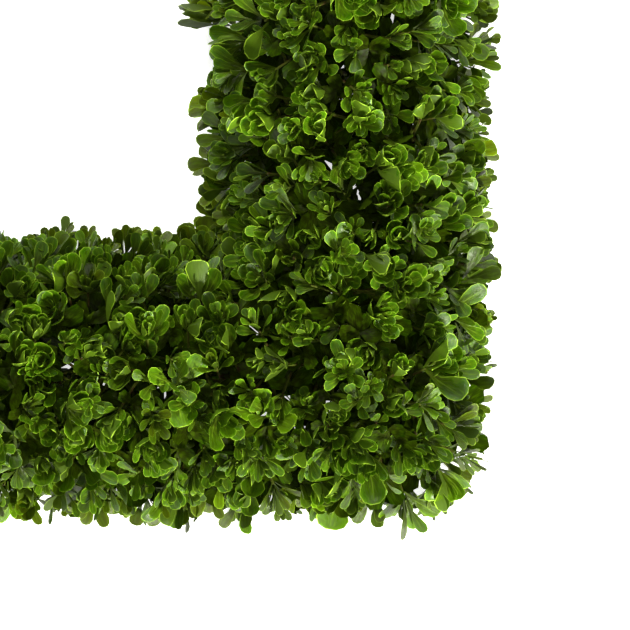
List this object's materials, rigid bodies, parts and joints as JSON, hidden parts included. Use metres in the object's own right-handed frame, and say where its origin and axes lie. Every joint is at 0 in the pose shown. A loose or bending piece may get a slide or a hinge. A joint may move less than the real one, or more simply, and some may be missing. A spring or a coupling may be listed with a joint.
{
  "type": "square tea leaf wreath",
  "caption": "Square wreath of leafy sprigs round an open middle, on a wire frame of three square rings with cross wires. Lies on its back.",
  "frame": {"origin": "under the middle of the opening, on the surface that the wreath's back lies on", "axes": "+Z out of the leafy front, +Y towards the edge that is at the top when the wreath hangs, +X towards the right as seen from the front"},
  "size_m": [0.5592, 0.5592, 0.1107],
  "materials": {
    "leaves": "satin green leaf",
    "wire": "dark green painted wire"
  },
  "bodies": {
    "root": {"wire_frame": "wire", "inner_bunch_bottom_1": "leaves", "inner_bunch_bottom_2": "leaves", "inner_bunch_bottom_3": "leaves", "front_bunch_bottom_1": "leaves", "front_bunch_bottom_2": "leaves", "front_bunch_bottom_3": "leaves", "outer_bunch_bottom_1": "leaves", "outer_bunch_bottom_2": "leaves", "outer_bunch_bottom_3": "leaves", "inner_bunch_right_1": "leaves", "inner_bunch_right_2": "leaves", "inner_bunch_right_3": "leaves", "front_bunch_right_1": "leaves", "front_bunch_right_2": "leaves", "front_bunch_right_3": "leaves", "outer_bunch_right_1": "leaves", "outer_bunch_right_2": "leaves", "outer_bunch_right_3": "leaves", "inner_bunch_top_1": "leaves", "inner_bunch_top_2": "leaves", "inner_bunch_top_3": "leaves", "front_bunch_top_1": "leaves", "front_bunch_top_2": "leaves", "front_bunch_top_3": "leaves", "outer_bunch_top_1": "leaves", "outer_bunch_top_2": "leaves", "outer_bunch_top_3": "leaves", "inner_bunch_left_1": "leaves", "inner_bunch_left_2": "leaves", "inner_bunch_left_3": "leaves", "front_bunch_left_1": "leaves", "front_bunch_left_2": "leaves", "front_bunch_left_3": "leaves", "outer_bunch_left_1": "leaves", "outer_bunch_left_2": "leaves", "outer_bunch_left_3": "leaves"}
  },
  "joints": []
}
